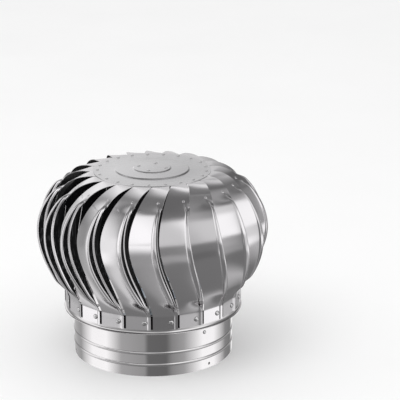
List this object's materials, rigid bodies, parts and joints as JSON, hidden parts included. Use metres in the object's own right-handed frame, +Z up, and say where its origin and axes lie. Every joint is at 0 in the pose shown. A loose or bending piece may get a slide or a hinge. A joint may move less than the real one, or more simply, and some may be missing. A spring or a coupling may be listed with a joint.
{
  "type": "roof turbine ventilator",
  "caption": "Round wind-driven roof ventilator: a bladed head turns freely on a vertical spindle above a beaded duct collar.",
  "frame": {"origin": "centre of the collar's bottom rim", "axes": "+Z up along the spin axis, -Y towards the viewer of the picture"},
  "size_m": [0.4349, 0.4351, 0.3599],
  "materials": {
    "polished_blade": "polished stainless sheet",
    "polished_collar": "polished stainless sheet",
    "satin_disc": "satin stainless sheet",
    "polished_ring": "polished stainless sheet",
    "galvanised_steel": "galvanised, dull",
    "rivet_steel": "plain stainless",
    "bearing_steel": "ground bearing steel",
    "bearing_shield": "pressed sheet",
    "zinc_hardware": "zinc plated",
    "turned_steel": "turned steel"
  },
  "bodies": {
    "base": {"collar": "polished_collar", "lower_arm_1": "galvanised_steel", "lower_arm_2": "galvanised_steel", "lower_arm_3": "galvanised_steel", "upper_arm_1": "galvanised_steel", "upper_arm_2": "galvanised_steel", "upper_arm_3": "galvanised_steel", "lower_hub": "galvanised_steel", "upper_hub": "galvanised_steel", "lower_bearing_outer_ring": "bearing_steel", "lower_bearing_shields": "bearing_shield", "upper_bearing_outer_ring": "bearing_steel", "upper_bearing_shields": "bearing_shield", "lower_wall_rivets": "rivet_steel", "upper_wall_rivets": "rivet_steel", "lower_hub_rivets": "rivet_steel", "upper_hub_rivets": "rivet_steel"},
    "turbine": {"shaft": "turned_steel", "spacer_tube": "zinc_hardware", "lower_bearing_inner_ring": "bearing_steel", "upper_bearing_inner_ring": "bearing_steel", "washer": "zinc_hardware", "lock_nut": "zinc_hardware", "shaft_flange": "turned_steel", "flange_pin": "zinc_hardware", "centre_rivets": "rivet_steel", "top_disc": "satin_disc", "lower_ring": "polished_ring", "blade_01": "polished_blade", "blade_02": "polished_blade", "blade_03": "polished_blade", "blade_04": "polished_blade", "blade_05": "polished_blade", "blade_06": "polished_blade", "blade_07": "polished_blade", "blade_08": "polished_blade", "blade_09": "polished_blade", "blade_10": "polished_blade", "blade_11": "polished_blade", "blade_12": "polished_blade", "blade_13": "polished_blade", "blade_14": "polished_blade", "blade_15": "polished_blade", "blade_16": "polished_blade", "blade_17": "polished_blade", "blade_18": "polished_blade", "blade_19": "polished_blade", "blade_20": "polished_blade", "blade_21": "polished_blade", "tab_rivets": "rivet_steel", "foot_rivets": "rivet_steel"}
  },
  "joints": [
    {"name": "turbine_spin", "type": "hinge", "parent": "base", "child": "turbine", "pos_m": [0, 0, 0.1], "axis": [0, 0, 1], "continuous": true}
  ]
}
